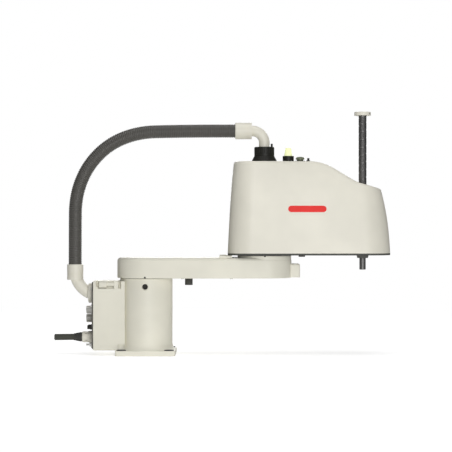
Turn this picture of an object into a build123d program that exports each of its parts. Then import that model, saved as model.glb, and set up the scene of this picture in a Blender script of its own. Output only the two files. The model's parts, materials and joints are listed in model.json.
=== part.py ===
from build123d import *
import math
import os

# A bench-size SCARA robot arm, in millimetres. Z is up. The origin is on the first axis, on the
# face that the foot stands on, and X points from the first axis along both links to the quill.

# Driving dimensions.
LINK_1 = 300            # first axis to second axis
LINK_2 = 250            # second axis to quill axis
JOINT_1_X = 0
JOINT_2_X = LINK_1
QUILL_X = LINK_1 + LINK_2
FIT = 0.05              # radial play of a running fit
GAP = 0.3               # clearance between parts that move past each other

# Foot and column.
FOOT_HALF = 75
FOOT_TOP = 13
FOOT_CORNER_R = 5
BOLT_HALF = 60          # foot bolts stand at +-60 in X and Y
BOLT_R = 4.5
BOLT_SINK_R = 9
BOLT_SINK = 6
SPOT_FACE_R = 12.5
COLUMN_R = 66.5
COLUMN_BORE = 57
COLUMN_TOP = 192.8
BORE_GATE = 32          # half width of the way from the column into the connection box
FLARE_R = 75
FLARE_TOP = 28
SHELF_LOW, SHELF_TOP = 132, 142
SHELF_BORE = 44
EYE_HOLE_Z = 173
EYE_HOLE_R = 7

# Connection box behind the column.
BOX_BACK, BOX_FRONT = -131, -51.5
BOX_HALF = 52
BOX_LOW, BOX_TOP = 12.6, 187
BOX_WALL = 5
RECESS = (-124, -61)    # side recesses for the first axis' stop bolts
RECESS_LOW = 168
RECESS_HALF = 36
STOP_Z = 178
STOP_Y = 47
PANEL_T = 4
PANEL_BACK = BOX_BACK - PANEL_T
PANEL_HALF = 49
PANEL_LOW, PANEL_TOP = 15, 185
SCREW_INSET = 7
PANEL_HOLE = (PANEL_BACK - 1, BOX_BACK + 1)     # range along X that cuts through the rear panel
SIGNAL = (-23, 114)     # places on the rear panel (Y, Z)
POWER = (22, 90)
AIR_PORTS = [(-34, 70), (-18, 70), (-2, 70)]
GROUND = (-28, 26)
ELBOW_Z = 155

# Hose from the connection box to the outer link.
HOSE_R = 17
HOSE_X = -181
HOSE_Z = 567
HOSE_LOW = 228
HOSE_END_X = 226
CUFF_R = 21
LOWER_BEND = (-117, 213, 64)    # centre X, centre Z, radius
LOWER_BEND_TURN = 65
LOWER_TUBE_R = 15
UPPER_BEND = (270, 537, 30)
UPPER_TUBE_R = 13.5
HOSE_ROUTE = [
    (HOSE_X, HOSE_LOW), (HOSE_X, 314), (-180, 403), (-150, 478), (-94, 535),
    (-19, 564), (64, 566), (146, HOSE_Z), (HOSE_END_X, HOSE_Z),
]

# Cable stub at the back.
CABLE_R = 7.9
CABLE_Z = 43.5
CABLE_ROUTE = [(BOX_BACK, CABLE_Z), (-165, CABLE_Z), (-199, 43.3), (-233, 42.8)]
GLAND_R = 15
GLAND_BACK = -163

# First link.
ARM1_LOW, ARM1_TOP = 194, 245.6
ARM1_R1, ARM1_R2 = 73.5, 69
ARM1_EDGE = 9
ARM1_WALL = 7
ARM1_CAVITY = (88, 222)
ARM1_LID_T = 3
BOSS_R, BOSS_TOP = 68.3, 250.5
STOP_PIN_1 = (108, 9.8)         # radius from the first axis, pin radius
STOP_PIN_2 = (95.5, 8.2)        # radius from the second axis, pin radius
BUFFER = (186, 204, 217.8)      # stop buffers of the second axis: head from, head to, tip
BUFFER_Y, BUFFER_Z = 64, 247.4
BUFFER_R = 3.8
INDEX_HALF = 2.2                # half width of the index notches

# Second link.
PLATE_LOW, PLATE_TOP = 251.6, 256.5
COVER_TOP = 488
COVER_WALL = 3.5
COVER_EDGE = 7
COVER_NARROW = 22               # half width less the radius of the rear corners
COVER_SECTIONS = [              # height, back, front, half width, nose radius
    (PLATE_TOP, 207, 620, 80, 70),
    (320, 210, 615, 78.5, 67),
    (380, 213.5, 605.5, 76, 61),
    (440, 218, 590, 73, 54),
    (508, 225, 566, 69, 45),
]
QUILL_R = 10
QUILL_END_R = 8
QUILL_BORE = 5
QUILL_LOW, QUILL_SHOULDER, QUILL_TOP = 214.5, 244, 615
COLLAR_R, COLLAR_LOW = 21, 606
WELL_R = 23.5
WELL_LIP = 1
LAMP_X, BUTTON_X, FITTING_X = 361, 391, 412
LAMP_TOP = 525
BUTTON_TOP = 501
J3_MOTOR = (455, 32)
J4_MOTOR = (420, -30)
SMALL_PULLEY_R, LARGE_PULLEY_R = 12, 30
J4_BELT_Z = (300, 312)
J3_BELT_Z = (326, 338)
BELT_T = 2

UPRIGHT = (Align.CENTER, Align.CENTER, Align.MIN)


def disc(x, y, low, high, r):
    """An upright cylinder."""
    return Pos(x, y, low) * Cylinder(r, high - low, align=UPRIGHT)


def ring(x, y, low, high, outer, inner):
    """An upright ring."""
    return disc(x, y, low, high, outer) - disc(x, y, low - 1, high + 1, inner)


def block(x, y, z):
    """A box from its range along each axis."""
    size = (x[1] - x[0], y[1] - y[0], z[1] - z[0])
    return Pos(x[0], y[0], z[0]) * Box(*size, align=(Align.MIN, Align.MIN, Align.MIN))


def rod_x(x, y, z, r):
    """A cylinder along X over the range x."""
    return Pos(x[0], y, z) * Rot(0, 90, 0) * Cylinder(r, x[1] - x[0], align=UPRIGHT)


def rod_y(x, y, z, r):
    """A cylinder along Y over the range y."""
    return Pos(x, y[1], z) * Rot(90, 0, 0) * Cylinder(r, y[1] - y[0], align=UPRIGHT)


def hull(circles):
    """The flat outline of a band pulled round circles (x, y, r), given anticlockwise."""
    touch = []
    for n, (x, y, r) in enumerate(circles):
        x2, y2, r2 = circles[(n + 1) % len(circles)]
        span = math.hypot(x2 - x, y2 - y)
        angle = math.atan2(y2 - y, x2 - x) - math.acos((r - r2) / span)
        nx, ny = math.cos(angle), math.sin(angle)
        touch.append(((x + r * nx, y + r * ny), (x2 + r2 * nx, y2 + r2 * ny), angle))
    lines = Curve()
    for n, (x, y, r) in enumerate(circles):
        arrive = touch[n - 1]
        leave = touch[n]
        turn = (leave[2] - arrive[2]) % (2 * math.pi)
        middle = arrive[2] + turn / 2
        over = (x + r * math.cos(middle), y + r * math.sin(middle))
        lines += ThreePointArc(arrive[1], over, leave[0])
        lines += Line(leave[0], leave[1])
    return make_face(lines)


def raise_up(face, low, high, taper=0):
    """A flat outline made into a solid between two heights."""
    return Pos(0, 0, low) * extrude(face, high - low, taper=taper)


def around(x, r, count, first=0):
    """Places on a circle about the upright axis at x."""
    step = 2 * math.pi / count
    start = math.radians(first)
    return [(x + r * math.cos(start + n * step), r * math.sin(start + n * step)) for n in range(count)]


def socket_screw(x, y, top, head_r, head, length):
    """A socket head cap screw that points down, its head's top at the height top."""
    body = disc(x, y, top - head, top, head_r) + disc(x, y, top - head - length, top - head, head_r * 0.58)
    socket = Pos(x, y, top - head * 0.6) * extrude(RegularPolygon(head_r * 0.5, 6), head)
    return body - socket


def panel_screw(y, z, back):
    """A button head screw that holds a plate from behind, along X."""
    screw = rod_x((back - 2, back), y, z, 3.6) + rod_x((back, back + 12), y, z, 1.9)
    return screw - rod_x((back - 3, back - 0.9), y, z, 1.6)


def bend_tube(centre_x, centre_z, radius, start, end, outer, inner):
    """A bent tube in the XZ plane, from the angle start to end about its centre."""
    def at(angle):
        a = math.radians(angle)
        return (centre_x + radius * math.cos(a), 0, centre_z + radius * math.sin(a))
    path = ThreePointArc(at(start), at((start + end) / 2), at(end))
    tangent = path.tangent_at(0)
    section = Plane(path.position_at(0), z_dir=tangent)
    tube = sweep(section * Circle(outer), path)
    return tube - sweep(section * Circle(inner), path) if inner else tube


def route_tube(name, route, r):
    """A round tube along straight runs and tangent arcs in the XZ plane."""
    points = [Vector(x, 0, z) for x, z in route]
    runs = [(b - a).length for a, b in zip(points, points[1:])]
    radii = []
    for n in range(1, len(points) - 1):
        turn = (points[n] - points[n - 1]).get_angle(points[n + 1] - points[n])
        radii.append(0.45 * min(runs[n - 1], runs[n]) / math.tan(math.radians(turn / 2)))
    path = FilletPolyline(*points, radius=radii)
    section = Plane(points[0], z_dir=points[1] - points[0])
    tube = sweep(section * Circle(r), path)
    print(name, "radii", [round(v) for v in radii], "length", round(path.length, 1))
    print(name, "volume", round(tube.volume), "section x length", round(math.pi * r * r * path.length))
    return tube


def servo(x, y, low, high, half, shaft):
    """A square servo motor with its flange, encoder cap and shaft (range of heights)."""
    body = block((x - half, x + half), (y - half, y + half), (low, high))
    body = fillet(body.edges().filter_by(Axis.Z), half * 0.2)
    up = shaft[1] > high
    cap_half = half * 0.82
    cap = (low - 16, low) if up else (high, high + 16)
    body += block((x - cap_half, x + cap_half), (y - cap_half, y + cap_half), cap)
    pilot = (high, high + 3) if up else (low - 3, low)
    body += disc(x, y, *pilot, half * 0.6)
    body += disc(x, y, min(shaft[0], low), max(shaft[1], high), half * 0.22)
    for z in range(1, 4):
        groove = low + (high - low) * z / 4
        outer = block((x - half - 1, x + half + 1), (y - half - 1, y + half + 1), (groove - 1, groove + 1))
        inner = half - 0.8
        body -= outer - block((x - inner, x + inner), (y - inner, y + inner), (groove - 2, groove + 2))
    return body


def pulley(x, y, z, r, bore, teeth):
    """A toothed belt pulley with a rim on each side of the belt."""
    low, high = z
    wheel = ring(x, y, low, high, r, bore)
    for tx, ty in around(x, r, teeth):
        wheel -= disc(tx, ty + y, low - 1, high + 1, 0.7)
    for rim in ((low - 1.2, low), (high, high + 1.2)):
        wheel += ring(x, y, *rim, r + 1.5, bore)
    return wheel


def belt(near, far, z):
    """A toothed belt round a small pulley and a large one, a little clear of both."""
    inside = GAP
    outline = [(*near, SMALL_PULLEY_R + inside + BELT_T), (*far, LARGE_PULLEY_R + inside + BELT_T)]
    hole = [(*near, SMALL_PULLEY_R + inside), (*far, LARGE_PULLEY_R + inside)]
    low, high = z[0] + GAP, z[1] - GAP
    return raise_up(hull(outline), low, high) - raise_up(hull(hole), low - 1, high + 1)


parts = {}


def base_casting():
    """Foot, flare, column and connection box, one casting."""
    foot = block((-FOOT_HALF, FOOT_HALF), (-FOOT_HALF, FOOT_HALF), (0, FOOT_TOP))
    foot = fillet(foot.edges().filter_by(Axis.Z), FOOT_CORNER_R)
    foot = chamfer(foot.faces().sort_by(Axis.Z)[-1].edges(), 1)
    rise = FLARE_TOP - FOOT_TOP
    with BuildPart() as flare:
        with BuildSketch(Plane.XZ):
            with BuildLine():
                Polyline((0, FOOT_TOP - 1), (FLARE_R, FOOT_TOP - 1), (FLARE_R, FOOT_TOP))
                ThreePointArc(
                    (FLARE_R, FOOT_TOP), (COLUMN_R + 3.2, FOOT_TOP + 5.2), (COLUMN_R, FOOT_TOP + rise),
                )
                Polyline((COLUMN_R, FLARE_TOP), (0, FLARE_TOP), (0, FOOT_TOP - 1))
            make_face()
        revolve(axis=Axis.Z)
    column = disc(0, 0, FOOT_TOP - 1, COLUMN_TOP, COLUMN_R)
    column = chamfer(column.faces().sort_by(Axis.Z)[-1].edges(), 0.8)
    box = block((BOX_BACK, BOX_FRONT), (-BOX_HALF, BOX_HALF), (BOX_LOW, BOX_TOP))
    box = fillet(box.edges().filter_by(Axis.X), 3)
    for side in (-1, 1):
        low, high = sorted((side * RECESS_HALF, side * (BOX_HALF + 1)))
        box -= block(RECESS, (low, high), (RECESS_LOW, BOX_TOP + 1))
        low, high = sorted((side * (RECESS_HALF - 1), side * (BOX_HALF - 1)))
        lug = block((-79, -68), (low, high), (RECESS_LOW - 1, BOX_TOP - 1))
        box += lug - rod_x((-80, -67), side * STOP_Y * 0.96, STOP_Z, 5)
    casting = foot + flare.part + column + box
    # the room inside: column bore, shelf for the reducer, and the connection box
    casting -= disc(0, 0, FOOT_TOP + 6, SHELF_LOW, COLUMN_BORE - 2)
    casting -= disc(0, 0, SHELF_LOW - 1, SHELF_TOP + 1, SHELF_BORE)
    casting -= disc(0, 0, SHELF_TOP, COLUMN_TOP + 1, COLUMN_BORE)
    room = (-BOX_HALF + BOX_WALL, BOX_HALF - BOX_WALL)
    room_end = BOX_FRONT - BOX_WALL
    casting -= block((BOX_BACK - 1, room_end), room, (BOX_LOW + 8, 126))
    casting -= block((room_end - 1, -40), (-BORE_GATE, BORE_GATE), (BOX_LOW + 8, 126))
    casting -= block((BOX_BACK - 1, room_end - 4), (-RECESS_HALF + 5, RECESS_HALF - 5), (110, 176))
    for x in (-BOLT_HALF, BOLT_HALF):
        for y in (-BOLT_HALF, BOLT_HALF):
            casting -= disc(x, y, -1, FOOT_TOP + 20, BOLT_R)
            casting -= disc(x, y, FOOT_TOP - BOLT_SINK, FOOT_TOP + 4, BOLT_SINK_R)
            casting -= disc(x, y, FOOT_TOP - 0.6, FLARE_TOP, SPOT_FACE_R)
    # hole for a lifting eye, with a chamfered mouth
    casting -= rod_y(0, (-COLUMN_R - 1, -COLUMN_BORE + 1), EYE_HOLE_Z, EYE_HOLE_R)
    casting -= Pos(0, -COLUMN_R + 0.8, EYE_HOLE_Z) * Rot(90, 0, 0) * Cone(EYE_HOLE_R, EYE_HOLE_R + 2, 2)
    for y in (-PANEL_HALF + SCREW_INSET, PANEL_HALF - SCREW_INSET):
        for z in (PANEL_LOW + SCREW_INSET, PANEL_TOP - SCREW_INSET * 2.6):
            post_y = (y - 5, BOX_HALF - 1) if y > 0 else (-BOX_HALF + 1, y + 5)
            casting += block((BOX_BACK, BOX_BACK + 12), post_y, (z - 5, z + 5))
            casting -= rod_x((BOX_BACK - 1, BOX_BACK + 10), y, z, 2)
    return casting


def rear_panel():
    """The plate that closes the connection box and carries its fittings."""
    z = (PANEL_LOW, PANEL_TOP)
    plate = block((PANEL_BACK, BOX_BACK), (-PANEL_HALF, PANEL_HALF), z)
    plate = fillet(plate.edges().filter_by(Axis.X), 4)
    plate = chamfer(plate.faces().sort_by(Axis.X)[0].edges(), 2.4)
    plate -= rod_x(PANEL_HOLE, 0, ELBOW_Z, 14)
    plate -= rod_x(PANEL_HOLE, 0, CABLE_Z, CABLE_R)
    plate -= rod_x(PANEL_HOLE, *SIGNAL, 10)
    plate -= rod_x(PANEL_HOLE, *POWER, 11)
    for y, z in AIR_PORTS:
        plate -= rod_x(PANEL_HOLE, y, z, 3)
    for y in (-PANEL_HALF + SCREW_INSET, PANEL_HALF - SCREW_INSET):
        for z in (PANEL_LOW + SCREW_INSET, PANEL_TOP - SCREW_INSET * 2.6):
            plate -= rod_x(PANEL_HOLE, y, z, 2)
    return plate - rod_x(PANEL_HOLE, *GROUND, 2.5)


def panel_screws():
    """Four screws of the rear panel and the earth terminal screw."""
    screws = []
    for y in (-PANEL_HALF + SCREW_INSET, PANEL_HALF - SCREW_INSET):
        for z in (PANEL_LOW + SCREW_INSET, PANEL_TOP - SCREW_INSET * 2.6):
            screws.append(panel_screw(y, z, PANEL_BACK))
    screws.append(ground_screw())
    return Compound(children=screws)


def lower_elbow():
    """Flanged elbow that turns the hose up from the rear panel."""
    x, z, r = LOWER_BEND
    elbow = bend_tube(x, z, r, 180, 180 + LOWER_BEND_TURN, LOWER_TUBE_R, LOWER_TUBE_R - 3)
    flange = rod_x((PANEL_BACK - 12, PANEL_BACK), 0, ELBOW_Z, 25)
    flange = chamfer(flange.faces().sort_by(Axis.X)[0].edges(), 2)
    elbow += flange - rod_x((PANEL_BACK - 13, PANEL_BACK + 1), 0, ELBOW_Z, LOWER_TUBE_R - 3)
    return elbow + ring_x(BOX_BACK + 6, PANEL_BACK, 0, ELBOW_Z, 13.9, LOWER_TUBE_R - 3)


def ring_x(x_high, x_low, y, z, outer, inner):
    """A ring about a line along X."""
    return rod_x((x_low, x_high), y, z, outer) - rod_x((x_low - 1, x_high + 1), y, z, inner)


def lower_cuff():
    """Ribbed cuff that joins the lower elbow to the hose."""
    low = HOSE_LOW - 39
    x, z, r = LOWER_BEND
    cuff = ring(HOSE_X, 0, low, HOSE_LOW, CUFF_R - 0.5, LOWER_TUBE_R - 3)
    cuff -= bend_tube(x, z, r, 180, 180 + LOWER_BEND_TURN, LOWER_TUBE_R, 0)
    cuff = chamfer(cuff.faces().sort_by(Axis.Z)[-1].outer_wire().edges(), 1.5)
    for z in (low + 9, low + 13, low + 17):
        cuff -= ring(HOSE_X, 0, z, z + 1.5, CUFF_R + 1, CUFF_R - 1.4)
    return cuff


def upper_cuff():
    """Cuff that joins the hose to the upper elbow."""
    high = 268
    cuff = ring_x(high, HOSE_END_X, 0, HOSE_Z, CUFF_R, UPPER_TUBE_R)
    cuff = chamfer(cuff.faces().sort_by(Axis.X)[0].outer_wire().edges(), 1.5)
    for x in (high - 18, high - 14, high - 10):
        cuff -= ring_x(x + 1.5, x, 0, HOSE_Z, CUFF_R + 1, CUFF_R - 0.9)
    return cuff


def upper_elbow():
    """Elbow over the second axis; it turns in the swivel collar."""
    x, z, r = UPPER_BEND
    elbow = bend_tube(x, z, r, 0, 90, UPPER_TUBE_R, UPPER_TUBE_R - 3)
    elbow += ring(x + r, 0, 509, z, UPPER_TUBE_R, UPPER_TUBE_R - 3)
    return elbow + ring_x(x, x - 30, 0, HOSE_Z, UPPER_TUBE_R, UPPER_TUBE_R - 3)


def swivel_collar():
    """Black collar nut that turns with the elbow."""
    collar = ring(JOINT_2_X, 0, 507 + GAP, 526, 25.5, UPPER_TUBE_R)
    collar = chamfer(collar.faces().sort_by(Axis.Z)[-1].outer_wire().edges(), 1.5)
    for x, y in around(JOINT_2_X, 26.2, 24):
        collar -= disc(x, y, 510, 523, 1.3)
    return collar + disc(JOINT_2_X + 19, 0, 520, 534.5, 2.6)


def swivel_base():
    """Black flared socket that stands on the cover."""
    with BuildPart() as socket:
        with BuildSketch(Plane.XZ):
            with BuildLine():
                Polyline((15, COVER_TOP - 6), (20, COVER_TOP - 6), (20, COVER_TOP), (31.5, COVER_TOP))
                Polyline((31.5, COVER_TOP), (31.5, COVER_TOP + 4), (25.5, 503), (25.5, 507), (15, 507))
                Line((15, 507), (15, COVER_TOP - 6))
            make_face()
        revolve(axis=Axis.Z)
    return Pos(JOINT_2_X, 0, 0) * socket.part


def cable_gland():
    """Gland nut and dome nut that grip the cable."""
    hexagon = Pos(PANEL_BACK - 12, 0, CABLE_Z) * Rot(0, 90, 0) * extrude(RegularPolygon(GLAND_R, 6), 12)
    dome = rod_x((GLAND_BACK, PANEL_BACK - 11), 0, CABLE_Z, GLAND_R - 1)
    dome = fillet(dome.faces().sort_by(Axis.X)[0].edges(), 3.5)
    for z in (CABLE_Z - 9, CABLE_Z + 9):
        dome -= block((PANEL_BACK - 20, PANEL_BACK - 14), (-GLAND_R, GLAND_R), (z - 0.6, z + 0.6))
    return hexagon + dome - rod_x((GLAND_BACK - 1, PANEL_BACK + 1), 0, CABLE_Z, CABLE_R)


def round_connector(y, z, reach, r):
    """A round bulkhead connector with its cap, on the rear panel."""
    shell = rod_x((reach, PANEL_BACK), y, z, r)
    shell = chamfer(shell.faces().sort_by(Axis.X)[0].edges(), 1)
    shell += rod_x((PANEL_BACK - 3, PANEL_BACK), y, z, r + 3)
    shell += rod_x((PANEL_BACK, BOX_BACK + 8), y, z, r - 3)
    for a in range(16):
        angle = 2 * math.pi * a / 16
        shell -= rod_x((reach + 1.5, PANEL_BACK - 4), y + r * math.cos(angle), z + r * math.sin(angle), 0.9)
    return shell


def air_fittings():
    """Push-in air fittings in a row."""
    fittings = []
    for y, z in AIR_PORTS:
        body = rod_x((PANEL_BACK - 5, PANEL_BACK), y, z, 6) + rod_x((-147, PANEL_BACK - 4), y, z, 5)
        body += rod_x((PANEL_BACK, BOX_BACK + 8), y, z, 3)
        fittings.append(body - rod_x((-148, -138), y, z, 2.2))
    return Compound(children=fittings)


def ground_screw():
    y, z = GROUND
    head = Pos(PANEL_BACK - 7, y, z) * Rot(0, 90, 0) * extrude(RegularPolygon(5, 6), 4)
    washer = rod_x((PANEL_BACK - 3, PANEL_BACK), y, z, 6)
    tip = rod_x((-151, PANEL_BACK - 6), y, z, 2.5)
    return head + washer + tip + rod_x((PANEL_BACK - 1, BOX_BACK + 6), y, z, 2.5)


def stop_bolt(side):
    """Adjustable stop bolt of the first axis, screwed into the lug beside the box."""
    y = side * STOP_Y * 0.96
    bolt = rod_x((-117, -97), y, STOP_Z, 9)
    bolt = fillet(bolt.edges().filter_by(GeomType.CIRCLE), 2)
    bolt += rod_x((-98, -68), y, STOP_Z, 5)
    return bolt


def arm_outline(shrink=0):
    return hull([(JOINT_1_X, 0, ARM1_R1 - shrink), (JOINT_2_X, 0, ARM1_R2 - shrink)])


def arm1_casting():
    """First link: a hollow bar that is deepest at its two ends."""
    bar = raise_up(arm_outline(), ARM1_LOW, ARM1_TOP)
    bar = fillet(bar.faces().sort_by(Axis.Z)[-1].edges(), ARM1_EDGE)
    bar = fillet(bar.faces().sort_by(Axis.Z)[0].edges(), 2)
    boss = disc(JOINT_2_X, 0, ARM1_TOP - ARM1_EDGE - 3, BOSS_TOP, BOSS_R)
    boss = fillet(boss.faces().sort_by(Axis.Z)[-1].edges(), 1.5)
    nose = block((340, 390), (-20, 20), (195, 230))
    nose = fillet(nose.edges().filter_by(Axis.Z), 4)
    nose = fillet(nose.faces().sort_by(Axis.Z)[-1].edges().filter_by(Axis.Y), 5)
    bar += boss + nose
    cavity = raise_up(arm_outline(ARM1_WALL), ARM1_LOW - 1, ARM1_TOP - 8)
    bar -= cavity & block(ARM1_CAVITY, (-90, 90), (ARM1_LOW - 2, ARM1_TOP))
    lid_room = raise_up(arm_outline(ARM1_WALL - 3), ARM1_LOW - 1, ARM1_LOW + ARM1_LID_T)
    bar -= lid_room & block((ARM1_CAVITY[0] - 6, ARM1_CAVITY[1] + 6), (-90, 90), (ARM1_LOW - 2, ARM1_TOP))
    # second axis: bearing pocket, open at the top
    bar -= disc(JOINT_2_X, 0, 206, BOSS_TOP + 1, 50)
    # first axis: recess for the cap, and the ring of bolt holes
    bar -= disc(0, 0, ARM1_TOP - 8, ARM1_TOP + 1, 47)
    for x, y in around(0, 38, 8, 22.5):
        bar -= disc(x, y, ARM1_LOW - 1, ARM1_TOP, 3.3)
        bar -= disc(x, y, ARM1_TOP - 16, ARM1_TOP, 5.6)
    for side in (-1, 1):
        bar -= rod_x((BUFFER[0], BUFFER[2]), side * BUFFER_Y, BUFFER_Z, BUFFER_R)
    bar -= disc(STOP_PIN_1[0], 0, ARM1_LOW - 1, ARM1_LOW + 6, 6)
    # index notches, below on the first axis and above on the second
    bar -= block((-INDEX_HALF, INDEX_HALF), (-ARM1_R1 - 1, -ARM1_R1 + 4), (ARM1_LOW - 1, ARM1_LOW + 4.4))
    notch = (JOINT_2_X - INDEX_HALF, JOINT_2_X + INDEX_HALF)
    bar -= block(notch, (-ARM1_R2 - 1, -ARM1_R2 + 4), (BOSS_TOP - 3, BOSS_TOP + 1))
    for x, y in lid_screw_places():
        bar += disc(x, y, ARM1_LOW + ARM1_LID_T, ARM1_TOP - 7, 5) & raise_up(arm_outline(1), 190, 240)
        bar -= disc(x, y, ARM1_LOW, ARM1_LOW + 16, 2)
    return bar


def stop_buffer(side):
    """Stop buffer of the second axis, half sunk in the top of the first link."""
    start, end, tip = BUFFER
    y = side * BUFFER_Y
    head = rod_x((start, end), y, BUFFER_Z, BUFFER_R)
    head = fillet(head.edges().filter_by(GeomType.CIRCLE), 1.5)
    return head + rod_x((end - 1, tip), y, BUFFER_Z, BUFFER_R - 1)


def lid_screw_places():
    places = []
    for x in (ARM1_CAVITY[0] + 6, ARM1_CAVITY[1] - 6):
        for y in (-58, 58):
            places.append((x, y))
    return places


def arm1_lid():
    """Plate that closes the first link from below."""
    x = (ARM1_CAVITY[0] - 5.7, ARM1_CAVITY[1] + 5.7)
    outline = raise_up(arm_outline(ARM1_WALL - 2.7), ARM1_LOW, ARM1_LOW + ARM1_LID_T)
    lid = outline & block(x, (-90, 90), (ARM1_LOW - 1, ARM1_LOW + ARM1_LID_T + 1))
    lid -= disc(STOP_PIN_1[0], 0, ARM1_LOW - 1, ARM1_LOW + 6, STOP_PIN_1[1] + 0.2)
    for px, py in lid_screw_places():
        lid -= disc(px, py, ARM1_LOW - 1, ARM1_LOW + 6, 2.2)
    return lid


def arm1_lid_screws():
    screws = []
    for x, y in lid_screw_places():
        screws.append(disc(x, y, ARM1_LOW - 1.8, ARM1_LOW, 3.8) + disc(x, y, ARM1_LOW, ARM1_LOW + 14, 1.9))
    return screws


def arm1_cap():
    """Thin cap over the bolts of the first axis."""
    cap = disc(0, 0, ARM1_TOP - 2.6, ARM1_TOP, 46.7)
    return chamfer(cap.faces().sort_by(Axis.Z)[-1].edges(), 0.6)


def cover_outline(section, shrink=0):
    """The cover's outline at one of its sections."""
    height, back, front, half, nose_r = section
    corner = half - COVER_NARROW
    rear = [(back + corner, side * COVER_NARROW, corner - shrink) for side in (-1, 1)]
    return hull([rear[0], (front - nose_r, 0, nose_r - shrink), rear[1]])


def cover_profile(drop):
    """Side view of the cover's upper edge, lowered by drop: flat, then down in two slopes."""
    top = COVER_TOP - drop
    edge = FilletPolyline(
        (150, top), (444.7, top), (530.9, top - 51.8), (700, top - 97.1), radius=[118 - drop, 80 + drop],
    )
    sides = Polyline((700, top - 97.1), (700, 200), (150, 200), (150, top))
    return Plane.XZ * make_face(edge + sides)


def cover_solid(shrink):
    """The cover's outer shape, or one shrunk by so much all round."""
    outlines = [Pos(0, 0, section[0]) * cover_outline(section, shrink) for section in COVER_SECTIONS]
    return loft(outlines) & extrude(cover_profile(shrink), 100, both=True)


COVER_SCREWS = [(215, 0), (300, 72), (300, -72), (430, 67), (430, -67), (612, 0)]


def arm2_cover():
    """Moulded cover of the second link: a shell, open below."""
    body = cover_solid(0)
    upper = body.edges().filter_by(lambda e: e.center().Z > 380 and e.length > 4)
    rim = upper.filter_by(lambda e: abs(e.center().Y) > 20 or e.center().X < 230 or e.center().X > 590)
    shell = fillet(rim, COVER_EDGE) - COVER_INSIDE
    lip = disc(QUILL_X, 0, 393, COVER_TOP, WELL_R + 2.2) & COVER_GROWN
    shell += lip
    shell -= disc(QUILL_X, 0, 370, COVER_TOP + 5, WELL_R)
    for x, r in ((JOINT_2_X, 20), (LAMP_X, 9), (BUTTON_X, 9.5), (FITTING_X, 3)):
        shell -= disc(x, 0, COVER_TOP - 10, COVER_TOP + 5, r)
    for x, y in COVER_SCREWS:
        shell += disc(x, y, PLATE_TOP, PLATE_TOP + 22, 6) & COVER_BODY
        shell -= disc(x, y, PLATE_TOP - 1, PLATE_TOP + 16, 2)
    return shell


def arm2_plate():
    """Bottom plate of the second link; it carries the motors and the quill's bearings."""
    plate = raise_up(cover_outline(COVER_SECTIONS[0]), PLATE_LOW, PLATE_TOP)
    plate -= disc(JOINT_2_X, 0, PLATE_LOW - 1, PLATE_TOP + 1, 15)
    plate -= disc(QUILL_X, 0, PLATE_LOW - 1, PLATE_TOP + 1, 22)
    plate -= disc(JOINT_2_X + STOP_PIN_2[0], 0, PLATE_LOW - 1, PLATE_TOP + 1, 5)
    for x, y in COVER_SCREWS:
        plate -= disc(x, y, PLATE_LOW - 1, PLATE_TOP + 1, 2.1)
        plate -= disc(x, y, PLATE_LOW - 1, PLATE_LOW + 2.2, 4.1)
    return plate


def cover_screws():
    screws = []
    for x, y in COVER_SCREWS:
        screws.append(disc(x, y, PLATE_LOW, PLATE_LOW + 2.2, 4) + disc(x, y, PLATE_LOW, PLATE_TOP + 15, 1.9))
    return Compound(children=screws)


def quill_bracket():
    """Bracket that holds the ball nut's bearing above the plate."""
    wall = block((490, 498), (-50, 50), (PLATE_TOP, 392))
    wall -= block((489, 499), (-44.5, 44.5), (290, 345))
    shelf = block((490, 586), (-36, 36), (384, 392)) + disc(QUILL_X, 0, 384, 392, 36)
    shelf -= disc(QUILL_X, 0, 383, 393, 26)
    foot = block((484, 498), (-50, 50), (PLATE_TOP, PLATE_TOP + 8))
    return (wall + foot + shelf) & COVER_INSIDE


def quill():
    """Ball screw spline shaft, hollow, with a turned tool end."""
    shaft = disc(QUILL_X, 0, QUILL_SHOULDER, QUILL_TOP, QUILL_R)
    tool = disc(QUILL_X, 0, QUILL_LOW, QUILL_SHOULDER + 1, QUILL_END_R)
    shaft += chamfer(tool.faces().sort_by(Axis.Z)[0].edges(), 0.8)
    shaft -= disc(QUILL_X, 0, QUILL_LOW - 1, QUILL_TOP + 1, QUILL_BORE)
    for x, y in around(QUILL_X, QUILL_R + 0.2, 3, 90):
        shaft -= disc(x, y, QUILL_SHOULDER + 6, COLLAR_LOW - 4, 1.3)
    return shaft


def quill_collar():
    """Stop collar clamped at the top of the quill."""
    collar = ring(QUILL_X, 0, COLLAR_LOW, QUILL_TOP, COLLAR_R, QUILL_R)
    collar = fillet(collar.edges().filter_by(lambda e: e.length > 100), 1)
    slit = (QUILL_X + QUILL_R - 1, QUILL_X + COLLAR_R + 1)
    collar -= block(slit, (-0.8, 0.8), (COLLAR_LOW - 1, QUILL_TOP + 1))
    return collar - rod_y(QUILL_X + 15.5, (-COLLAR_R, COLLAR_R), (COLLAR_LOW + QUILL_TOP) / 2, 1.7)


def quill_seal():
    """Bush and wiper where the quill leaves the plate."""
    seal = disc(QUILL_X, 0, PLATE_LOW, PLATE_TOP, 21.9)
    seal += Pos(QUILL_X, 0, 244) * Cone(13.5, 15.5, PLATE_LOW - 244, align=UPRIGHT)
    return seal - disc(QUILL_X, 0, 240, 260, QUILL_R + FIT)


def lamp_dome():
    """Lamp lens: a cone with a rounded top."""
    dome = Pos(LAMP_X, 0, 503) * Cone(10.5, 6.8, LAMP_TOP - 503, align=UPRIGHT)
    return fillet(dome.faces().sort_by(Axis.Z)[-1].edges(), 4.5)


def brake_button():
    """Mushroom button with its stem; it has room for its travel above the bezel."""
    cap = disc(BUTTON_X, 0, COVER_TOP + 6.4, BUTTON_TOP, 11)
    cap = fillet(cap.faces().sort_by(Axis.Z)[-1].edges(), 5)
    return cap + disc(BUTTON_X, 0, COVER_TOP - 6, COVER_TOP + 6.4, 8.1)


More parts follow.
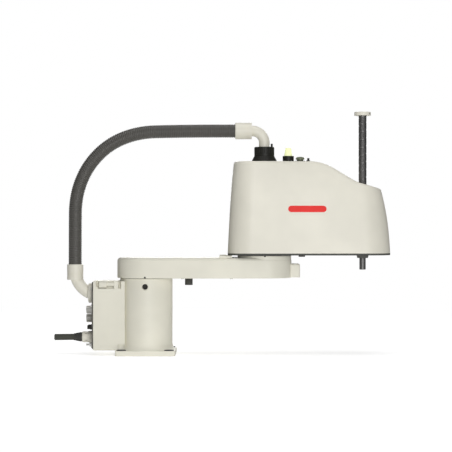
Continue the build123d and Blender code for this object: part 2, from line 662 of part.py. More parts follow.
def add_base():
    parts["base_casting"] = base_casting()
    parts["rear_panel"] = rear_panel()
    parts["rear_panel_screws"] = panel_screws()
    parts["lower_elbow"] = lower_elbow()
    parts["lower_cuff"] = lower_cuff()
    parts["hose"] = route_tube("hose", HOSE_ROUTE, HOSE_R)
    parts["cable_gland"] = cable_gland()
    parts["supply_cable"] = route_tube("supply_cable", CABLE_ROUTE, CABLE_R)
    parts["signal_connector"] = round_connector(*SIGNAL, -150, 10)
    parts["power_connector"] = round_connector(*POWER, -154, 11)
    parts["air_fittings"] = air_fittings()
    parts["j1_stop_bolts"] = Compound(children=[stop_bolt(-1), stop_bolt(1)])
    mount = ring(0, 0, 119, SHELF_LOW, 50, 10)
    parts["j1_motor"] = servo(0, 0, 52, 119, 30, (119, 156)) + mount
    parts["j1_circular_spline"] = ring(0, 0, SHELF_TOP, 160, 56, 40)
    parts["j1_bearing_outer"] = ring(0, 0, 160, 184, 56, 50)
    parts["j1_seal"] = ring(0, 0, 188, ARM1_LOW - GAP, 60, 50.4) - ring(0, 0, 187, COLUMN_TOP, 61, 56.9)
    board = block((-112, -110), (-38, 38), (38, 118))
    for z in (52, 70, 88):
        board += block((-120, -112), (-30, -12), (z, z + 12))
    parts["terminal_board"] = board


def add_arm1():
    parts["arm1_casting"] = arm1_casting()
    parts["arm1_lid"] = arm1_lid()
    parts["arm1_cap"] = arm1_cap()
    bolts = [socket_screw(x, y, ARM1_TOP - 10, 5, 6, 30) for x, y in around(0, 38, 8, 22.5)]
    parts["arm1_fasteners"] = Compound(children=bolts + arm1_lid_screws())
    flange = ring(0, 0, 160 + GAP, ARM1_LOW, 50 - FIT, 30)
    for x, y in around(0, 38, 8, 22.5):
        flange -= disc(x, y, 170, ARM1_LOW + 1, 2.95)
    flexspline = ring(0, 0, 144, 160 + GAP, 40 - GAP, 36)
    parts["j1_output_flange"] = flange + flexspline
    r, pin_r = STOP_PIN_1
    parts["j1_stop_pin"] = disc(r, 0, 175.4, ARM1_LOW, pin_r) + disc(r, 0, ARM1_LOW, ARM1_LOW + 6, 5.9)
    parts["j2_stop_buffers"] = Compound(children=[stop_buffer(-1), stop_buffer(1)])
    flexspline = ring(JOINT_2_X, 0, 216, 244, 24 - GAP, 20)
    parts["j2_output_flange"] = ring(JOINT_2_X, 0, 206, 216, 49.9, 8) + flexspline
    parts["j2_bearing_outer"] = ring(JOINT_2_X, 0, 216, 248, 49.9, 44)


def add_arm2():
    parts["arm2_plate"] = arm2_plate()
    parts["arm2_cover"] = arm2_cover()
    parts["cover_screws"] = cover_screws()
    parts["quill_bracket"] = quill_bracket()
    parts["quill_seal"] = quill_seal()
    inner = ring(JOINT_2_X, 0, 216 + GAP, PLATE_LOW, 44 - FIT, 24)
    parts["j2_bearing_inner"] = inner
    mount = ring(JOINT_2_X, 0, PLATE_TOP, 262, 40, 10)
    parts["j2_motor"] = servo(JOINT_2_X, 0, 262, 342, 30, (232, 262)) + mount
    r, pin_r = STOP_PIN_2
    pin = disc(JOINT_2_X + r, 0, 247, PLATE_LOW, pin_r) + disc(JOINT_2_X + r, 0, PLATE_LOW, PLATE_TOP, 4.9)
    parts["j2_stop_pin"] = pin
    parts["j3_motor"] = servo(*J3_MOTOR, 272.5, 318, 20, (318, 339))
    parts["j4_motor"] = servo(*J4_MOTOR, 320, 366, 20, (299, 320))
    x, y = J4_MOTOR
    mount = block((x - 24, x + 24), (y - 24, y + 24), (316, 320)) - disc(x, y, 315, 321, 12.2)
    for px, py in ((x - 20, y - 20), (x - 20, y + 20), (x + 20, y - 20)):
        mount += disc(px, py, PLATE_TOP, 316, 3.5)
    parts["j4_motor_mount"] = mount
    parts["j3_belt"] = belt(J3_MOTOR, (QUILL_X, 0), J3_BELT_Z)
    parts["j4_belt"] = belt(J4_MOTOR, (QUILL_X, 0), J4_BELT_Z)
    upper = ring(QUILL_X, 0, 384, 392, 26, 18 + FIT)
    lower = ring(QUILL_X, 0, PLATE_TOP, 270, 28, 18 + FIT)
    parts["quill_bearings"] = Compound(children=[upper, lower])
    socket = disc(LAMP_X, 0, COVER_TOP - 8, COVER_TOP, 8.8)
    parts["lamp_base"] = socket + disc(LAMP_X, 0, COVER_TOP, 503, 14.2)
    parts["lamp_dome"] = lamp_dome()
    bezel = ring(BUTTON_X, 0, COVER_TOP, COVER_TOP + 3, 13, 9)
    parts["brake_button_bezel"] = bezel + ring(BUTTON_X, 0, COVER_TOP - 8, COVER_TOP, 9.4, 9)
    fitting = disc(FITTING_X, 0, COVER_TOP, COVER_TOP + 4, 5)
    fitting += disc(FITTING_X, 0, COVER_TOP - 4, COVER_TOP + 10, 2.9)
    parts["air_nipple"] = fitting - disc(FITTING_X, 0, COVER_TOP + 2, COVER_TOP + 11, 1.4)
    parts["badge"] = badge()


def badge():
    """A plain rounded bar on the cover's near side."""
    bar = Pos(406, 0, 368) * Rot(90, 0, 0) * extrude(SlotOverall(96, 16), 120)
    return bar & (COVER_GROWN - COVER_BODY)


def add_moving():
    parts["spline_nut"] = ring(QUILL_X, 0, PLATE_TOP + 0.5, 298.8, 18, QUILL_R + FIT)
    parts["spline_pulley"] = pulley(QUILL_X, 0, J4_BELT_Z, LARGE_PULLEY_R, QUILL_R + FIT, 48)
    parts["ball_nut"] = ring(QUILL_X, 0, 340, 392, 18, QUILL_R + FIT)
    parts["ball_nut_pulley"] = pulley(QUILL_X, 0, J3_BELT_Z, LARGE_PULLEY_R, QUILL_R + FIT, 48)
    parts["j3_motor_pulley"] = pulley(*J3_MOTOR, J3_BELT_Z, SMALL_PULLEY_R, 4.4 + FIT, 20)
    parts["j4_motor_pulley"] = pulley(*J4_MOTOR, J4_BELT_Z, SMALL_PULLEY_R, 4.4 + FIT, 20)
    parts["quill"] = quill()
    parts["quill_collar"] = quill_collar()
    parts["brake_button"] = brake_button()
    parts["swivel_base"] = swivel_base()
    parts["swivel_collar"] = swivel_collar()
    parts["upper_elbow"] = upper_elbow()
    parts["upper_cuff"] = upper_cuff()
    parts["j1_wave_generator"] = ring(0, 0, 145, 156, 36 - GAP, 6.6 + FIT)
    parts["j2_wave_generator"] = ring(JOINT_2_X, 0, 232, 242, 20 - GAP, 6.6 + FIT)


COVER_BODY = cover_solid(0)
COVER_INSIDE = cover_solid(COVER_WALL)
COVER_GROWN = cover_solid(-WELL_LIP)
add_base()
add_arm1()
add_arm2()
add_moving()
os.makedirs("parts", exist_ok=True)
for node, shape in parts.items():
    shape.label = node
    export_step(shape, f"parts/{node}.step")
print(len(parts), "nodes")
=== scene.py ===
import json
import math

import bmesh
import bpy
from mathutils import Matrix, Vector


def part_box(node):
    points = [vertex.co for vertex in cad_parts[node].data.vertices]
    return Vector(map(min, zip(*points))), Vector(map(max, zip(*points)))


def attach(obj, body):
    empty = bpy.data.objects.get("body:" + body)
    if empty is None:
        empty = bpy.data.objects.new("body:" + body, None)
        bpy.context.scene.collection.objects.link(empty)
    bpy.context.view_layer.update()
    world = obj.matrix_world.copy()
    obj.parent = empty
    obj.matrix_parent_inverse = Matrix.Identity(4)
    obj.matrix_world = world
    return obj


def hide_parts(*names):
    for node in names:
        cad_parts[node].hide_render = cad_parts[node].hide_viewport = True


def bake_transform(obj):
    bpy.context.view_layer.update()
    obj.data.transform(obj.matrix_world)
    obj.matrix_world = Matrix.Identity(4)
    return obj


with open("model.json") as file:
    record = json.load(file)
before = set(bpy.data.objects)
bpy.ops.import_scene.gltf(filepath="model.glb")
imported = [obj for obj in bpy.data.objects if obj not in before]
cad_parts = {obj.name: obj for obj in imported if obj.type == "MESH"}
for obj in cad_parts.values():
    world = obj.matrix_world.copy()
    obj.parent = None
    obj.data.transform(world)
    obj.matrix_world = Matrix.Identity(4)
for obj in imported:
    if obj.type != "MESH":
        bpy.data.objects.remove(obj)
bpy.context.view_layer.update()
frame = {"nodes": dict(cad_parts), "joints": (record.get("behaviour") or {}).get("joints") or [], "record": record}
NODES = frame["nodes"]

# Places taken from the frame, in metres.
JOINTS = {joint["name"]: joint for joint in frame["joints"]}
J2_X = JOINTS["j2"]["pos_m"][0]
QUILL_X = JOINTS["j4"]["pos_m"][0]

# The hose and the cable: the same points as the model's own routes.
HOSE_D = 0.034
HOSE_ROUTE = [
    (-0.181, 0, 0.228), (-0.181, 0, 0.314), (-0.180, 0, 0.403), (-0.150, 0, 0.478), (-0.094, 0, 0.535),
    (-0.019, 0, 0.564), (0.064, 0, 0.566), (0.146, 0, 0.567), (0.226, 0, 0.567),
]
CABLE_D = 0.0158
CABLE_ROUTE = [(-0.131, 0, 0.0435), (-0.165, 0, 0.0435), (-0.199, 0, 0.0433), (-0.233, 0, 0.0428)]


# ---------------------------------------------------------------- materials

class Nodes:
    """Short calls for building a material's node tree."""

    def __init__(self, name):
        self.material = bpy.data.materials.new(name)
        self.material.use_nodes = True
        self.tree = self.material.node_tree
        self.shader = self.tree.nodes["Principled BSDF"]
        self.place = self.add("ShaderNodeTexCoord").outputs["Object"]

    def add(self, kind, **values):
        node = self.tree.nodes.new(kind)
        for key, value in values.items():
            setattr(node, key, value)
        return node

    def link(self, source, target):
        self.tree.links.new(source, target)

    def noise(self, scale, detail=2.0, stretch=(1, 1, 1)):
        mapping = self.add("ShaderNodeMapping")
        mapping.inputs["Scale"].default_value = stretch
        self.link(self.place, mapping.inputs["Vector"])
        node = self.add("ShaderNodeTexNoise")
        node.inputs["Scale"].default_value = scale
        node.inputs["Detail"].default_value = detail
        self.link(mapping.outputs["Vector"], node.inputs["Vector"])
        return node.outputs["Fac"]

    def ramp(self, value, stops):
        node = self.add("ShaderNodeValToRGB")
        elements = node.color_ramp.elements
        while len(elements) < len(stops):
            elements.new(0.5)
        for element, (at, colour) in zip(elements, stops):
            element.position = at
            element.color = (*colour, 1)
        self.link(value, node.inputs["Fac"])
        return node.outputs["Color"]

    def spread(self, value, low, high):
        node = self.add("ShaderNodeMapRange")
        node.inputs["To Min"].default_value = low
        node.inputs["To Max"].default_value = high
        self.link(value, node.inputs["Value"])
        return node.outputs["Result"]

    def mix(self, factor, a, b):
        node = self.add("ShaderNodeMix", data_type="RGBA")
        for socket, value in ((node.inputs[0], factor), (node.inputs[6], a), (node.inputs[7], b)):
            if isinstance(value, (tuple, float, int)):
                socket.default_value = (*value, 1) if isinstance(value, tuple) else value
            else:
                self.link(value, socket)
        return node.outputs[2]

    def bump(self, height, strength, distance):
        node = self.add("ShaderNodeBump")
        node.inputs["Strength"].default_value = strength
        node.inputs["Distance"].default_value = distance
        self.link(height, node.inputs["Height"])
        self.link(node.outputs["Normal"], self.shader.inputs["Normal"])

    def edges(self, width):
        """1 on edges that stick out, 0 on flat faces."""
        node = self.add("ShaderNodeNewGeometry")
        spread = self.add("ShaderNodeMapRange")
        spread.inputs["From Min"].default_value = 0.5 + width
        spread.inputs["From Max"].default_value = 0.62 + width
        self.link(node.outputs["Pointiness"], spread.inputs["Value"])
        return spread.outputs["Result"]


def shade(colour, factor):
    return tuple(min(1.0, c * factor) for c in colour)


def painted(name, colour, rough=0.38, grain=420.0, depth=0.00012, wear=None, gloss=0.35):
    """Paint or moulded plastic: a faint mottle, orange peel or spark texture, and worn edges."""
    n = Nodes(name)
    mottle = n.noise(9.0, 3.0)
    base = n.ramp(mottle, [(0.35, shade(colour, 0.955)), (0.65, shade(colour, 1.03))])
    if wear:
        base = n.mix(n.edges(0.02), base, wear)
    n.link(base, n.shader.inputs["Base Color"])
    n.link(n.spread(n.noise(34.0, 4.0), rough - 0.05, rough + 0.06), n.shader.inputs["Roughness"])
    n.bump(n.noise(grain, 2.0), 0.35, depth)
    n.shader.inputs["Specular IOR Level"].default_value = gloss
    return n.material


def metal(name, colour, rough=0.3, stretch=(1, 1, 1), grain=900.0):
    """Machined or ground metal, with fine lines along one direction."""
    n = Nodes(name)
    lines = n.noise(grain, 3.0, stretch)
    base = n.ramp(lines, [(0.3, shade(colour, 0.86)), (0.7, shade(colour, 1.08))])
    n.link(base, n.shader.inputs["Base Color"])
    n.link(n.spread(lines, rough - 0.07, rough + 0.1), n.shader.inputs["Roughness"])
    n.bump(lines, 0.2, 0.00004)
    n.shader.inputs["Metallic"].default_value = 1.0
    return n.material


MATERIALS = {
    "cream_casting": painted("cream_casting", (0.765, 0.745, 0.64), 0.46, 300.0, 0.00018),
    "cream_plastic": painted("cream_plastic", (0.785, 0.76, 0.66), 0.44, 700.0, 0.00006),
    # The rear panel: partly its own dark grey, partly painted shade; it is darkened to stand in for the shade on
    # its edge, which faces away from the light.
    "panel_paint": painted("panel_paint", (0.07, 0.068, 0.058), 0.5, 350.0, 0.00012, (0.2, 0.19, 0.17)),
    # The dark paint, as on the second arm's plate: partly its own dark colour, partly painted shade; it is
    # darkened further to stand in for the shadow line along the cover's bottom.
    "dark_paint": painted("dark_paint", (0.014, 0.014, 0.013), 0.6, 350.0, 0.00012, (0.1, 0.1, 0.09), 0.15),
    "hose_plastic": painted("hose_plastic", (0.088, 0.084, 0.076), 0.42, 500.0, 0.00008, gloss=0.5),
    "cable_jacket": painted("cable_jacket", (0.05, 0.052, 0.04), 0.55, 650.0, 0.00006),
    "connector_metal": metal("connector_metal", (0.5, 0.49, 0.46), 0.34),
    "black_plastic": painted("black_plastic", (0.014, 0.014, 0.011), 0.5, 600.0, 0.00006, gloss=0.25),
    "green_plastic": painted("green_plastic", (0.17, 0.19, 0.12), 0.4, 600.0, 0.00003),
    "red_enamel": painted("red_enamel", (0.8, 0.02, 0.015), 0.45, 600.0, 0.00003, gloss=0.2),
    "plain_steel": metal("plain_steel", (0.55, 0.55, 0.53), 0.32),
    "ground_steel": metal("ground_steel", (0.165, 0.162, 0.16), 0.5, (1, 1, 0.05)),
    "bare_aluminium": metal("bare_aluminium", (0.62, 0.62, 0.6), 0.4),
    "motor_black": painted("motor_black", (0.03, 0.03, 0.03), 0.5, 500.0, 0.0001, (0.15, 0.15, 0.15)),
    "dark_rubber": painted("dark_rubber", (0.055, 0.055, 0.05), 0.7, 500.0, 0.0001),
    "quill_bush": painted("quill_bush", (0.1, 0.1, 0.09), 0.45, 500.0, 0.00005),
    "belt_rubber": painted("belt_rubber", (0.02, 0.02, 0.02), 0.75, 800.0, 0.0001),
    "board_green": painted("board_green", (0.02, 0.13, 0.05), 0.35, 500.0, 0.00003),
}


def lamp_lens():
    """Pale yellow ribbed lens."""
    n = Nodes("lamp_lens")
    base = n.ramp(n.noise(40.0, 2.0), [(0.3, (0.86, 0.9, 0.5)), (0.7, (0.93, 0.95, 0.62))])
    n.link(base, n.shader.inputs["Base Color"])
    n.shader.inputs["Roughness"].default_value = 0.22
    n.shader.inputs["Transmission Weight"].default_value = 0.15
    n.shader.inputs["IOR"].default_value = 1.49
    n.shader.inputs["Emission Color"].default_value = (0.95, 1.0, 0.6, 1)
    n.shader.inputs["Emission Strength"].default_value = 0.3
    n.bump(n.noise(300.0, 2.0), 0.15, 0.0001)
    return n.material


MATERIALS["lamp_lens"] = lamp_lens()
SLOT = {part["node"]: part["material_slot"] for part in frame["record"]["subparts"]}
for name, node in NODES.items():
    node.data.materials.clear()
    node.data.materials.append(MATERIALS[SLOT[name]])


# ---------------------------------------------------------------- helpers

def keep(name, bm, slot, body, smooth=True):
    """A mesh piece from a bmesh, with its material, riding on a body."""
    mesh = bpy.data.meshes.new(name)
    bmesh.ops.recalc_face_normals(bm, faces=bm.faces)
    bm.to_mesh(mesh)
    bm.free()
    for polygon in mesh.polygons:
        polygon.use_smooth = smooth
    piece = bpy.data.objects.new(name, mesh)
    bpy.context.scene.collection.objects.link(piece)
    mesh.materials.append(MATERIALS[slot])
    if body:
        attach(piece, body)
    return piece


def circle(sides):
    """The angles of evenly spaced points around a ring."""
    return [2 * math.pi * n / sides for n in range(sides)]


def skin(bm, loops, closed=True):
    """Quads between neighbouring loops; the last joins the first, or else both ends are capped."""
    rows = [[bm.verts.new(point) for point in loop] for loop in loops]
    ends = rows[1:] + rows[:1] if closed else rows[1:]
    for one, two in zip(rows, ends):
        for n in range(len(one)):
            t = (n + 1) % len(one)
            bm.faces.new((one[n], one[t], two[t], two[n]))
    if not closed:
        bm.faces.new(rows[0])
        bm.faces.new(list(reversed(rows[-1])))


def route_curve(name, route):
    """A smooth NURBS line with the route's points as its control points."""
    curve = bpy.data.curves.new(name, "CURVE")
    curve.dimensions = "3D"
    curve.resolution_u = 40
    spline = curve.splines.new("NURBS")
    spline.points.add(len(route) - 1)
    for point, place in zip(spline.points, route):
        point.co = (*place, 1)
    spline.order_u = 3
    spline.use_endpoint_u = True
    piece = bpy.data.objects.new(name, curve)
    bpy.context.scene.collection.objects.link(piece)
    return piece


def line_of(route):
    """Points along the smooth line of a route."""
    guide = route_curve("guide", route)
    bpy.context.view_layer.update()
    mesh = bpy.data.meshes.new_from_object(guide)
    points = [v.co.copy() for v in mesh.vertices]
    bpy.data.objects.remove(guide)
    return points


def walk(points, step):
    """Places and directions at even steps along a line of points."""
    lengths = [0.0]
    for a, b in zip(points, points[1:]):
        lengths.append(lengths[-1] + (b - a).length)
    count = round(lengths[-1] / step)
    found = []
    n = 0
    for k in range(count + 1):
        at = lengths[-1] * k / count
        while n < len(points) - 2 and lengths[n + 1] < at:
            n += 1
        a, b = points[n], points[n + 1]
        t = (at - lengths[n]) / (lengths[n + 1] - lengths[n])
        found.append((a.lerp(b, t), (b - a).normalized()))
    return found


# ---------------------------------------------------------------- hose and cable

HOSE_PITCH = 0.0046
HOSE_STEPS = 6          # rings of points for each rib
HOSE_SIDES = 40
RIB_DEPTH = 0.0017
RIB_SHAPE = 0.6         # under 1: broad ribs with narrow valleys


def make_hose():
    """Corrugated hose: round ribs with narrow valleys, along the smooth route."""
    line = line_of(HOSE_ROUTE)
    places = walk(line, HOSE_PITCH / HOSE_STEPS)
    across = Vector((0, 1, 0))
    loops = []
    for n, (place, direction) in enumerate(places):
        up = direction.cross(across).normalized()
        phase = (n % HOSE_STEPS) / HOSE_STEPS
        rib = math.sin(math.pi * phase) ** RIB_SHAPE
        r = HOSE_D / 2 - RIB_DEPTH * (1 - rib)
        loops.append([place + (across * math.cos(a) + up * math.sin(a)) * r for a in circle(HOSE_SIDES)])
    bm = bmesh.new()
    skin(bm, loops, closed=False)
    hose = keep("hose_corrugated", bm, "hose_plastic", None)
    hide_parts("hose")
    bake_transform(hose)


def turned(name, profile, place, slot, body, sides=64):
    """A piece turned about a line along X: profile is (x, radius) pairs, closed on themselves."""
    y, z = place
    bm = bmesh.new()
    skin(bm, [[(x, y + r * math.cos(a), z + r * math.sin(a)) for a in circle(sides)] for x, r in profile])
    return sharpen(keep(name, bm, slot, body))


def sharpen(piece, angle=0.6):
    """Smooth shading with crisp edges above an angle."""
    bm = bmesh.new()
    bm.from_mesh(piece.data)
    for edge in bm.edges:
        edge.smooth = len(edge.link_faces) == 2 and edge.calc_face_angle() < angle
    bm.to_mesh(piece.data)
    bm.free()
    return piece


CORE_R = 0.0022
CORE_RING = 0.0038      # the cores' distance from the cable's middle
CORES = 4
BOOT_RINGS = 5
BOOT_PITCH = 0.0034
BOOT_LENGTH = 0.021


def make_boot():
    """Tapered rubber sleeve with rings, between the gland and the cable."""
    r = CABLE_D / 2
    gland_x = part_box("cable_gland")[0][0]
    start, end = gland_x - BOOT_LENGTH, gland_x + 0.001
    profile = [(start, r + 0.0001), (start, r + 0.0009)]
    for n in range(BOOT_RINGS):
        x = start + BOOT_PITCH * (n + 0.4)
        outer = r + 0.0012 + 0.0007 * n
        profile += [(x, outer), (x + 0.0022, outer + 0.0003)]
        profile += [(x + 0.0024, outer - 0.0006), (x + 0.0032, outer - 0.0005)]
    profile += [(end, r + 0.0046), (end, r + 0.0001)]
    return turned("cable_boot", profile, (0, CABLE_ROUTE[0][2]), "dark_rubber", "base")


def make_cores():
    """The cable's four cores, cut off square just past the jacket."""
    x, y, z = CABLE_ROUTE[-1]
    pieces = []
    inner, wire_r = CORE_R * 0.62, CORE_R * 0.6
    sleeve = [(x - 0.0008, inner), (x - 0.0008, CORE_R), (x + 0.002, CORE_R), (x + 0.002, inner)]
    wire = [
        (x - 0.0012, 0.00002), (x - 0.0012, wire_r - 0.0002), (x - 0.001, wire_r), (x + 0.001, wire_r),
        (x + 0.001, 0.00002),
    ]
    for n, a in enumerate(circle(CORES)):
        a += math.pi / 4
        place = (y + CORE_RING * math.cos(a), z + CORE_RING * math.sin(a))
        pieces.append(turned(f"core_sleeve_{n}", sleeve, place, "black_plastic", "base", 20))
        pieces.append(turned(f"core_wire_{n}", wire, place, "connector_metal", "base", 20))
    return pieces


def make_cable():
    """Short cable tail with a square cut end."""
    cable = route_curve("supply_cable_tail", CABLE_ROUTE)
    cable.data.bevel_depth = CABLE_D / 2
    cable.data.bevel_resolution = 8
    cable.data.use_fill_caps = True
    cable.data.materials.append(MATERIALS["cable_jacket"])
    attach(cable, "base")
    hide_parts("supply_cable")
    make_boot()
    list(make_cores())


# ---------------------------------------------------------------- quill

SHOULDER = 0.244        # where the quill steps down to its tool end
TOOL_R = 0.008
QUILL_R = 0.010
BORE_R = 0.005
LEAD = 0.020
THREAD_DEPTH = 0.0006
THREAD_HALF = 0.1       # half width of the ball groove, in leads
SPLINE_DEPTH = 0.001
SPLINE_HALF = 0.16      # half width of a spline groove, in radians
QUILL_SIDES = 90
QUILL_STEP = 0.0009     # between rings of points along the shaft
GROOVE_FROM, GROOVE_TO = 0.006, 0.012       # how far the grooves stay from the shoulder and from the top


def quill_radius(angle, z, low, high):
    """The shaft's radius, with its ball groove and three spline grooves between two heights."""
    end = min(1.0, max(0.0, min(z - low, high - z) / 0.002))
    phase = (z / LEAD - angle / (2 * math.pi)) % 1.0 - 0.5
    ball = max(0.0, 1 - (phase / THREAD_HALF) ** 2)
    around = (angle + math.pi / 6) % (2 * math.pi / 3) - math.pi / 3
    spline = max(0.0, 1 - (around / SPLINE_HALF) ** 2)
    return QUILL_R - end * max(THREAD_DEPTH * math.sqrt(ball), SPLINE_DEPTH * math.sqrt(spline))


def make_quill():
    """Hollow shaft with a helical ball groove and straight spline grooves, and a turned tool end."""
    low, high = (corner[2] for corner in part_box("quill"))
    count = round((high - SHOULDER) / QUILL_STEP)
    heights = [SHOULDER + (high - SHOULDER) * n / count for n in range(count + 1)]
    chamfer = QUILL_R - 0.0006
    tool_end = [(low, BORE_R), (low, TOOL_R - 0.0008), (low + 0.0008, TOOL_R)]
    tool_end += [(SHOULDER, TOOL_R), (SHOULDER, chamfer)]
    top = [(high, chamfer), (high, BORE_R)]

    angles = circle(QUILL_SIDES)
    rings = [(z, [r] * QUILL_SIDES) for z, r in tool_end]
    for z in heights[1:-1]:
        rings.append((z, [quill_radius(a, z, SHOULDER + GROOVE_FROM, high - GROOVE_TO) for a in angles]))
    rings += [(z, [r] * QUILL_SIDES) for z, r in top]
    bm = bmesh.new()
    skin(bm, [
        [(QUILL_X + r * math.cos(a), r * math.sin(a), z) for a, r in zip(angles, radii)]
        for z, radii in rings
    ])
    quill = sharpen(keep("quill_shaft", bm, "ground_steel", "quill"), 0.5)
    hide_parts("quill")


# ---------------------------------------------------------------- small details

EYE_HOLE_Z = 0.173
EYE_HOLE_R = 0.007
COLUMN_R = 0.0665
PLUG_SIDES = 48
HEX_HALF = 0.0034       # half the width of the screw's hexagon socket, across flats
PLUG_SINK = 0.003       # how far the screw sits inside the column's wall
SPOT_FLOOR = 0.0124     # the foot's spot faces
SPOT_SHADE_RING = (0.012, 0.0092, 0.0024)        # outer radius, inner radius, thickness of each ring of painted shade
CORNERS = ((-1, -1), (1, -1), (1, 1), (-1, 1))
INDEX_HALF = 0.0020     # half width of a block of painted shade, just inside its notch
INDEX_EDGE = 0.0004     # the block's bevel
INDEX_NOTCH_SHADES = [         # name, x, front and back, bottom and top
    ("j1_index_notch_shade", 0, (-0.0733, -0.0696), (0.1945, 0.1982)),
    ("j2_index_notch_shade", J2_X, (-0.0681, -0.0646), (0.2476, 0.2503)),
]


def upright_ring(name, x, y, low, high, outer, inner, slot, body, sides=64):
    """A ring about an upright line, with slightly broken edges."""
    edge = min(0.0004, (outer - inner) / 4, (high - low) / 4)
    profile = [
        (low, inner), (low, outer - edge), (low + edge, outer), (high - edge, outer), (high, outer - edge),
        (high, inner + edge), (high - edge, inner),
    ]
    bm = bmesh.new()
    skin(bm, [[(x + r * math.cos(a), y + r * math.sin(a), z) for a in circle(sides)] for z, r in profile])
    return sharpen(keep(name, bm, slot, body))


def make_foot_spot_shades():
    """A dark ring in each spot face of the foot: painted shade for the shadow in each bolt pocket."""
    bolts = next(mount for mount in frame["record"]["mounts"] if mount["name"] == "base_bolts")["dims"]
    x, y = bolts["spacing_x_mm"] / 2000, bolts["spacing_y_mm"] / 2000       # half the spacing, in metres
    outer, inner, thick = SPOT_SHADE_RING
    low, high = SPOT_FLOOR, SPOT_FLOOR + thick
    for n, (u, v) in enumerate(CORNERS):
        # dark rings that stand in for the shadow in the bolt pockets: painted shade
        upright_ring(f"foot_spot_shade_{n}", u * x, v * y, low, high, outer, inner, "motor_black", "base")


def make_eye_hole_plug():
    """Socket grub screw that closes the lifting eye's hole."""
    face = PLUG_SINK - COLUMN_R
    outer = EYE_HOLE_R - 0.0002
    angles = circle(PLUG_SIDES)
    hexagon = [HEX_HALF / math.cos(a % (math.pi / 3) - math.pi / 6) for a in angles]
    rings = [
        (face + 0.003, [outer] * PLUG_SIDES),
        (face + 0.0005, [outer] * PLUG_SIDES),
        (face, [outer - 0.0005] * PLUG_SIDES),
        (face, hexagon),
        (face + 0.0022, hexagon),
    ]
    bm = bmesh.new()
    skin(bm, [
        [(r * math.cos(a), y, EYE_HOLE_Z + r * math.sin(a)) for a, r in zip(angles, radii)]
        for y, radii in rings
    ], closed=False)
    sharpen(keep("eye_hole_plug", bm, "black_plastic", "base"))


def make_index_notch_shades():
    """Black blocks in the index notches of the first link, one at each axis: painted shade for the shadow inside
    each notch.
    """
    for name, x, (front, back), (low, high) in INDEX_NOTCH_SHADES:
        middle, tall = (low + high) / 2, (high - low) / 2
        loops = []
        for y, inset in ((front, INDEX_EDGE), (front + INDEX_EDGE, 0), (back, 0)):
            wide, high_half = INDEX_HALF - inset, tall - inset
            loops.append([(x + u * wide, y, middle + v * high_half) for u, v in CORNERS])
        bm = bmesh.new()
        skin(bm, loops, closed=False)
        # black blocks that stand in for the shadow inside the notches: painted shade
        keep(name, bm, "black_plastic", "arm1", smooth=False)


make_hose()
make_cable()
make_quill()
make_foot_spot_shades()
make_eye_hole_plug()
make_index_notch_shades()


# ---------------------------------------------------------------- stage, light and camera

def make_stage():
    """A pale floor: it takes soft shadows near the object and fades into the background further out."""
    bm = bmesh.new()
    bmesh.ops.create_circle(bm, cap_ends=True, radius=12.0, segments=96)
    mesh = bpy.data.meshes.new("floor")
    bm.to_mesh(mesh)
    bm.free()
    floor = bpy.data.objects.new("floor", mesh)
    bpy.context.scene.collection.objects.link(floor)
    n = Nodes("floor_paint")
    distance = n.add("ShaderNodeVectorMath", operation="LENGTH")
    n.link(n.place, distance.inputs[0])
    far = n.add("ShaderNodeMapRange", interpolation_type="SMOOTHSTEP")
    far.inputs["From Min"].default_value, far.inputs["From Max"].default_value = FLOOR_FADE
    n.link(distance.outputs["Value"], far.inputs["Value"])
    paint = n.ramp(n.noise(1.5, 2.0), [(0.3, (0.80, 0.80, 0.80)), (0.7, (0.82, 0.82, 0.82))])
    n.link(n.mix(far.outputs["Result"], paint, (0.0, 0.0, 0.0)), n.shader.inputs["Base Color"])
    n.shader.inputs["Roughness"].default_value = 0.9
    n.shader.inputs["Specular IOR Level"].default_value = 0.0
    n.shader.inputs["Emission Color"].default_value = (1, 1, 1, 1)
    level = n.add("ShaderNodeMapRange")
    level.inputs["To Min"].default_value = FLOOR_FILL
    n.link(n.spread(far.outputs["Result"], FLOOR_GLOW, 1.0), level.inputs["To Max"])
    n.link(n.add("ShaderNodeLightPath").outputs["Is Camera Ray"], level.inputs["Value"])
    n.link(level.outputs["Result"], n.shader.inputs["Emission Strength"])
    mesh.materials.append(n.material)
    floor.location.z = -0.0005


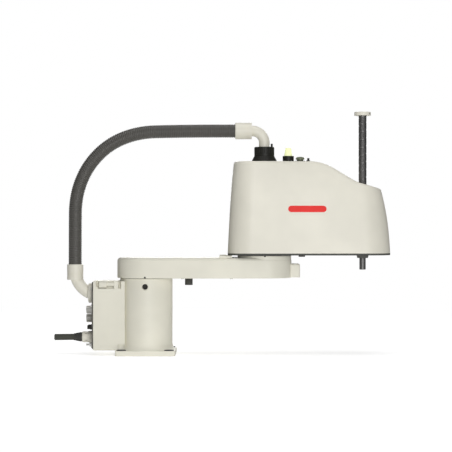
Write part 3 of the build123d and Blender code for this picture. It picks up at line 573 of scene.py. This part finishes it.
def area_light(name, place, target, size, power, colour=(1, 1, 1)):
    light = bpy.data.lights.new(name, "AREA")
    light.shape = "RECTANGLE"
    light.size, light.size_y = size
    light.energy = power
    light.color = colour
    lamp = bpy.data.objects.new(name, light)
    lamp.location = place
    lamp.rotation_euler = (Vector(target) - Vector(place)).to_track_quat("-Z", "Y").to_euler()
    bpy.context.scene.collection.objects.link(lamp)


FLOOR_GLOW = 0.58
FLOOR_FILL = 0.24               # what the floor's glow gives the object, as against what the camera sees
FLOOR_FADE = (0.7, 2.2)         # distances between which the floor turns into plain background, in metres
WORLD_LIGHT = 0.12               # what the surroundings give the object; the camera sees them white


def make_light():
    world = bpy.data.worlds.new("studio")
    world.use_nodes = True
    tree = world.node_tree
    back = tree.nodes["Background"]
    back.inputs["Color"].default_value = (1, 1, 1, 1)
    path = tree.nodes.new("ShaderNodeLightPath")
    level = tree.nodes.new("ShaderNodeMapRange")
    level.inputs["To Min"].default_value = WORLD_LIGHT
    level.inputs["To Max"].default_value = 1.0
    tree.links.new(path.outputs["Is Camera Ray"], level.inputs["Value"])
    tree.links.new(level.outputs["Result"], back.inputs["Strength"])
    bpy.context.scene.world = world
    area_light("front", (0.8, -3.3, 0.45), (0.2, 0, 0.3), (1.4, 1.2), 66)
    area_light("top", (0.2, -0.3, 2.6), (0.2, 0, 0.3), (2.0, 1.6), 26)
    area_light("back", (0.4, 3.0, 1.2), (0.2, 0, 0.3), (2.0, 1.6), 44)


CAMERA_PLACE = (0.2026, -3.9, 0.3253)
FRAME_WIDTH = 1.150     # what the picture shows at the object's middle plane


def make_camera():
    camera = bpy.data.cameras.new("camera")
    camera.sensor_width = 36.0
    camera.lens = 36.0 * abs(CAMERA_PLACE[1]) / FRAME_WIDTH
    eye = bpy.data.objects.new("camera", camera)
    eye.location = CAMERA_PLACE
    eye.rotation_euler = (math.pi / 2, 0, 0)
    bpy.context.scene.collection.objects.link(eye)
    bpy.context.scene.camera = eye


make_stage()
make_light()
make_camera()
bpy.context.scene.view_settings.view_transform = "Standard"
